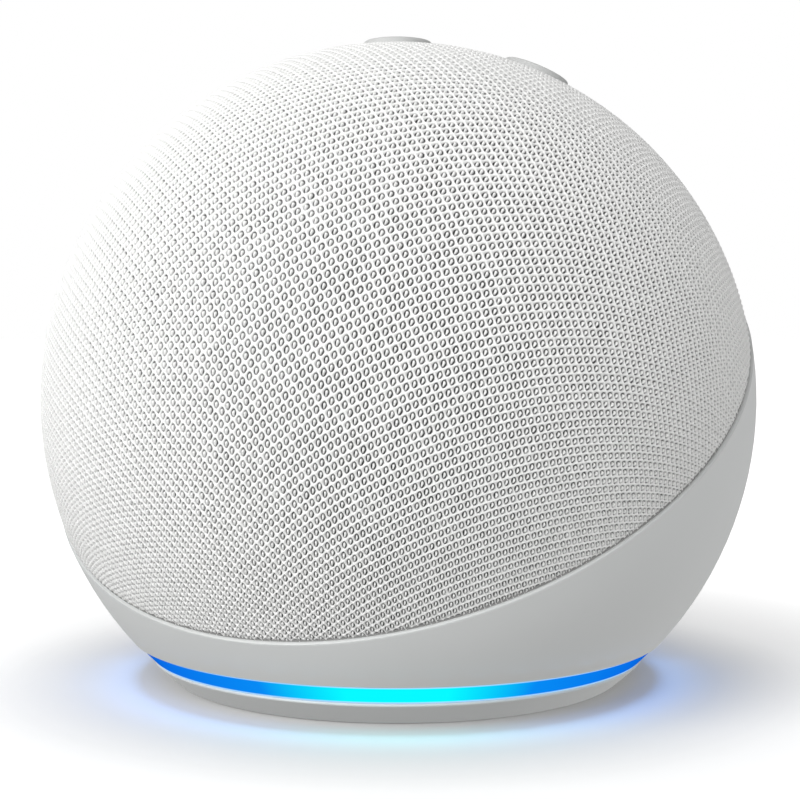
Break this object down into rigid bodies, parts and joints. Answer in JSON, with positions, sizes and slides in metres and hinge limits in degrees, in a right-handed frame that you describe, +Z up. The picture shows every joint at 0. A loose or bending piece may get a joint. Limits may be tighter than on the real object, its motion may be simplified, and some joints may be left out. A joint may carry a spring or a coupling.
{
  "type": "smart speaker",
  "caption": "Ball-shaped smart speaker with a knitted cover, smooth lower housing, lit ring at the foot, push buttons on top and sockets at the back.",
  "frame": {"origin": "middle of the underside, where the foot rests", "axes": "+Z up, -Y towards the front, +X to the right seen from the front"},
  "size_m": [0.1, 0.0998, 0.0896],
  "materials": {
    "knit_fabric": "knitted mesh",
    "shell_plastic": "satin moulded",
    "base_plastic": "satin moulded",
    "dark_plastic": "fine moulded",
    "frame_plastic": "moulded",
    "trim_rubber": "soft",
    "ring_diffuser": "translucent, lit",
    "clear_plastic": "clear",
    "foot_rubber": "matt",
    "circuit_board": "solder mask",
    "chip_black": "moulded",
    "led_white": "lens",
    "shield_steel": "stamped",
    "screw_steel": "machined",
    "heat_aluminium": "milled",
    "contact_brass": "plated",
    "magnet_steel": "plated",
    "cone_paper": "pressed pulp",
    "copper_coil": "wound",
    "foam_seal": "foam",
    "wire_sleeve": "sleeve",
    "ribbon_film": "film"
  },
  "bodies": {
    "speaker_body": {"fabric_cover": "knit_fabric", "grille_shell": "frame_plastic", "seam_trim": "trim_rubber", "lower_housing": "shell_plastic", "port_bezel": "dark_plastic", "light_ring": "ring_diffuser", "light_guide": "clear_plastic", "led_board": "circuit_board", "ring_leds": "led_white", "led_cable": "wire_sleeve", "base_plate": "base_plastic", "base_screws": "screw_steel", "rubber_foot": "foot_rubber", "chassis": "frame_plastic", "main_board": "circuit_board", "board_screws": "screw_steel", "board_chips": "chip_black", "rf_shield": "shield_steel", "thermal_pad": "foam_seal", "heat_spreader": "heat_aluminium", "power_capacitors": "heat_aluminium", "antennas": "circuit_board", "power_inlet": "dark_plastic", "power_inlet_pin": "contact_brass", "audio_socket": "dark_plastic", "driver_basket": "frame_plastic", "driver_screws": "screw_steel", "driver_top_plate": "magnet_steel", "driver_magnet": "magnet_steel", "driver_yoke": "magnet_steel", "driver_gasket": "foam_seal", "spider": "foam_seal", "surround": "foam_seal", "front_baffle": "frame_plastic", "speaker_enclosure": "frame_plastic", "enclosure_screws": "screw_steel", "speaker_wires": "wire_sleeve", "flex_cable": "ribbon_film", "button_guide": "frame_plastic", "guide_screws": "screw_steel", "button_board": "circuit_board", "button_board_screws": "screw_steel", "tact_switches": "shield_steel", "microphones": "shield_steel", "mic_seals": "foam_seal"},
    "volume_up": {"volume_up_button": "shell_plastic", "volume_up_plunger": "chip_black"},
    "volume_down": {"volume_down_button": "shell_plastic", "volume_down_plunger": "chip_black"},
    "action": {"action_button": "shell_plastic", "action_plunger": "chip_black"},
    "mic_mute": {"mic_mute_button": "shell_plastic", "mic_mute_plunger": "chip_black"},
    "cone_assembly": {"speaker_cone": "cone_paper", "dust_cap": "cone_paper", "voice_coil": "copper_coil"}
  },
  "joints": [
    {"name": "volume_up_press", "type": "slide", "parent": "speaker_body", "child": "volume_up", "axis": [-0.0966, -0.2653, -0.9593], "range_m": [0, 0.0006], "stiffness_N_per_m": 800, "springref_m": -0.0006},
    {"name": "volume_down_press", "type": "slide", "parent": "speaker_body", "child": "volume_down", "axis": [-0.0966, -0.2653, -0.9593], "range_m": [0, 0.0006], "stiffness_N_per_m": 800, "springref_m": -0.0006},
    {"name": "action_press", "type": "slide", "parent": "speaker_body", "child": "action", "axis": [-0.0966, -0.2653, -0.9593], "range_m": [0, 0.0006], "stiffness_N_per_m": 800, "springref_m": -0.0006},
    {"name": "mic_mute_press", "type": "slide", "parent": "speaker_body", "child": "mic_mute", "axis": [-0.0966, -0.2653, -0.9593], "range_m": [0, 0.0006], "stiffness_N_per_m": 800, "springref_m": -0.0006},
    {"name": "cone_slide", "type": "slide", "parent": "speaker_body", "child": "cone_assembly", "axis": [0, -1, 0], "range_m": [-0.0005, 0.0005], "stiffness_N_per_m": 1500, "deforming": ["surround", "spider"]}
  ]
}
